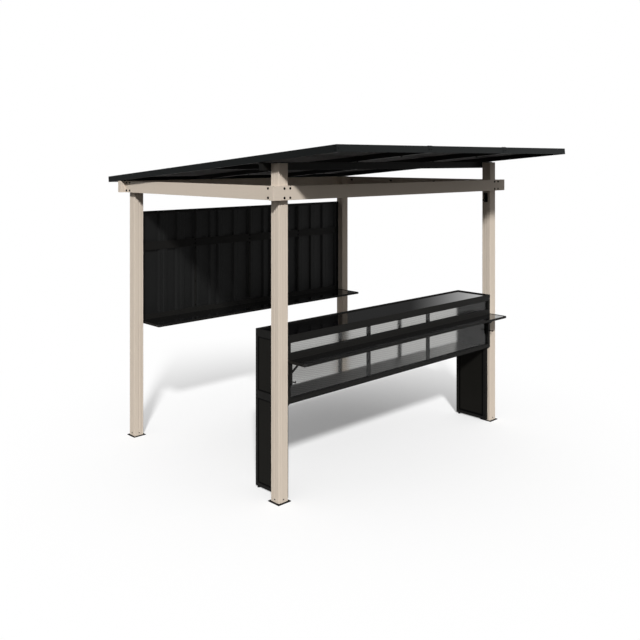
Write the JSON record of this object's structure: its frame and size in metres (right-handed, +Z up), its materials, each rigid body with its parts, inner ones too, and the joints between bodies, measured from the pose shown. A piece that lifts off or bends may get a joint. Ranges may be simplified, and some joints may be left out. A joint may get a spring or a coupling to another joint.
{
  "type": "bar gazebo",
  "caption": "Open garden gazebo with a single pitch metal roof, a glazed bar with a shelf between its front posts and a ribbed wall with a shelf at the back.",
  "frame": {"origin": "on the ground under the middle of the roof", "axes": "+X along the bar to the right, +Y from the bar to the back wall, +Z up"},
  "size_m": [2.912, 2.9372, 2.574],
  "materials": {
    "beige_frame": "satin powder coat, light taupe",
    "black_frame": "satin powder coat, near black",
    "black_sheet": "satin coated steel sheet, near black",
    "black_trim": "satin coated steel trim, near black with a cool cast",
    "black_plate": "matt powder coat, near black",
    "gloss_top": "high gloss black",
    "smoked_pane": "smoked, lightly frosted twin wall sheet",
    "black_plastic": "matt black plastic"
  },
  "bodies": {
    "root": {"post_front_left": "beige_frame", "post_front_right": "beige_frame", "post_back_left": "beige_frame", "post_back_right": "beige_frame", "base_plate_front_left": "black_plate", "base_plate_front_right": "black_plate", "base_plate_back_left": "black_plate", "base_plate_back_right": "black_plate", "rail_front": "beige_frame", "rail_back": "beige_frame", "rail_left": "beige_frame", "rail_right": "beige_frame", "beam_high_front": "black_frame", "rafter_left": "black_frame", "rafter_inner_left": "black_frame", "rafter_inner_right": "black_frame", "rafter_right": "black_frame", "purlins": "black_frame", "roof_sheet_left": "black_sheet", "roof_sheet_middle": "black_sheet", "roof_sheet_right": "black_sheet", "roof_joint_caps": "black_trim", "fascia_front": "black_trim", "fascia_back": "black_trim", "fascia_left": "black_trim", "fascia_right": "black_trim", "bar_front_frame": "black_frame", "bar_back_frame": "black_frame", "bar_end_left": "black_frame", "bar_end_right": "black_frame", "bar_top": "gloss_top", "bar_bottom_board": "gloss_top", "bar_panes": "smoked_pane", "bar_feet": "black_plastic", "front_shelf_frame": "black_frame", "front_shelf_top": "gloss_top", "front_shelf_brackets": "black_frame", "wall_frame": "black_frame", "wall_sheet_1": "black_sheet", "wall_sheet_2": "black_sheet", "wall_sheet_3": "black_sheet", "wall_sheet_4": "black_sheet", "wall_middle_rail": "black_frame", "back_shelf_frame": "black_frame", "back_shelf_top": "gloss_top", "hooks": "black_frame"}
  },
  "joints": []
}
